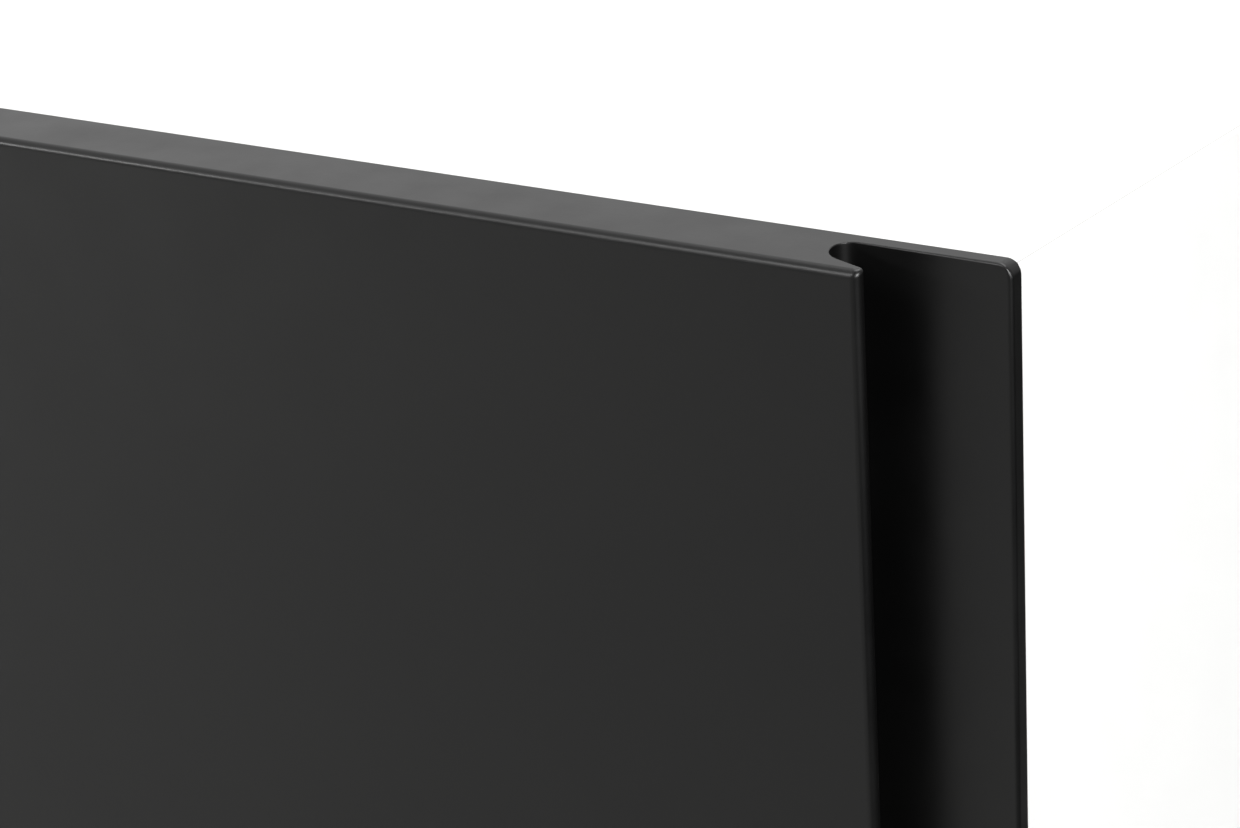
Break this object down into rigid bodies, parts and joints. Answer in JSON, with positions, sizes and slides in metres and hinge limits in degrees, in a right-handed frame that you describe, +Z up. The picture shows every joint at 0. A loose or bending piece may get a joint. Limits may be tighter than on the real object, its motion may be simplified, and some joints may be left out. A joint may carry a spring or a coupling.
{
  "type": "dresser",
  "caption": "Free-standing two-tone dresser: full-width drawers on full-extension ball slides, each lacquered front with a milled vertical grip along one edge, on short steel legs.",
  "frame": {"origin": "on the floor, at the middle of the whole dresser's footprint", "axes": "+X to the right seen from the front, +Y from the front to the back, +Z up"},
  "size_m": [0.8, 0.481, 0.9],
  "materials": {
    "front_lacquer": "satin black lacquer on medium-density fibreboard",
    "white_board": "fine-grained white melamine on particle board",
    "back_board": "painted white hardboard",
    "birch_ply": "clear-lacquered birch plywood",
    "zinc_steel": "zinc-plated",
    "beech": "raw beech",
    "bumper_rubber": "soft, translucent",
    "leg_paint": "fine-textured black powder coat",
    "leg_plastic": "moulded black plastic"
  },
  "bodies": {
    "carcass": {"carcass_side_left": "white_board", "carcass_side_right": "white_board", "carcass_top": "white_board", "carcass_bottom": "white_board", "hanging_rail": "white_board", "back_panel": "back_board", "wall_plates": "zinc_steel", "rail_screws": "zinc_steel", "cabinet_members": "zinc_steel", "cabinet_slide_screws": "zinc_steel", "cam_locks": "zinc_steel", "cam_bolts": "zinc_steel", "leg_screws": "zinc_steel", "dowels": "beech", "bumpers": "bumper_rubber", "legs_front": "leg_paint", "legs_back": "leg_paint", "leg_inserts": "leg_plastic", "leg_glides": "leg_plastic"},
    "drawer_1": {"drawer_1_front": "front_lacquer", "drawer_1_side_left": "birch_ply", "drawer_1_side_right": "birch_ply", "drawer_1_box_front": "birch_ply", "drawer_1_box_back": "birch_ply", "drawer_1_bottom": "birch_ply", "drawer_1_front_screws": "zinc_steel", "drawer_1_slide_screws": "zinc_steel", "drawer_1_drawer_members": "zinc_steel"},
    "slide_1": {"drawer_1_middle_members": "zinc_steel"},
    "drawer_2": {"drawer_2_front": "front_lacquer", "drawer_2_side_left": "birch_ply", "drawer_2_side_right": "birch_ply", "drawer_2_box_front": "birch_ply", "drawer_2_box_back": "birch_ply", "drawer_2_bottom": "birch_ply", "drawer_2_front_screws": "zinc_steel", "drawer_2_slide_screws": "zinc_steel", "drawer_2_drawer_members": "zinc_steel"},
    "slide_2": {"drawer_2_middle_members": "zinc_steel"},
    "drawer_3": {"drawer_3_front": "front_lacquer", "drawer_3_side_left": "birch_ply", "drawer_3_side_right": "birch_ply", "drawer_3_box_front": "birch_ply", "drawer_3_box_back": "birch_ply", "drawer_3_bottom": "birch_ply", "drawer_3_front_screws": "zinc_steel", "drawer_3_slide_screws": "zinc_steel", "drawer_3_drawer_members": "zinc_steel"},
    "slide_3": {"drawer_3_middle_members": "zinc_steel"},
    "drawer_4": {"drawer_4_front": "front_lacquer", "drawer_4_side_left": "birch_ply", "drawer_4_side_right": "birch_ply", "drawer_4_box_front": "birch_ply", "drawer_4_box_back": "birch_ply", "drawer_4_bottom": "birch_ply", "drawer_4_front_screws": "zinc_steel", "drawer_4_slide_screws": "zinc_steel", "drawer_4_drawer_members": "zinc_steel"},
    "slide_4": {"drawer_4_middle_members": "zinc_steel"}
  },
  "joints": [
    {"name": "drawer_1_slide", "type": "slide", "parent": "carcass", "child": "drawer_1", "axis": [0, -1, 0], "range_m": [0, 0.4]},
    {"name": "drawer_1_middle_slide", "type": "slide", "parent": "carcass", "child": "slide_1", "axis": [0, -1, 0], "range_m": [0, 0.2]},
    {"name": "drawer_2_slide", "type": "slide", "parent": "carcass", "child": "drawer_2", "axis": [0, -1, 0], "range_m": [0, 0.4]},
    {"name": "drawer_2_middle_slide", "type": "slide", "parent": "carcass", "child": "slide_2", "axis": [0, -1, 0], "range_m": [0, 0.2]},
    {"name": "drawer_3_slide", "type": "slide", "parent": "carcass", "child": "drawer_3", "axis": [0, -1, 0], "range_m": [0, 0.4]},
    {"name": "drawer_3_middle_slide", "type": "slide", "parent": "carcass", "child": "slide_3", "axis": [0, -1, 0], "range_m": [0, 0.2]},
    {"name": "drawer_4_slide", "type": "slide", "parent": "carcass", "child": "drawer_4", "axis": [0, -1, 0], "range_m": [0, 0.4]},
    {"name": "drawer_4_middle_slide", "type": "slide", "parent": "carcass", "child": "slide_4", "axis": [0, -1, 0], "range_m": [0, 0.2]}
  ],
  "couplings": [
    {"joint": "drawer_1_middle_slide", "follows": "drawer_1_slide", "ratio": 0.5},
    {"joint": "drawer_2_middle_slide", "follows": "drawer_2_slide", "ratio": 0.5},
    {"joint": "drawer_3_middle_slide", "follows": "drawer_3_slide", "ratio": 0.5},
    {"joint": "drawer_4_middle_slide", "follows": "drawer_4_slide", "ratio": 0.5}
  ]
}
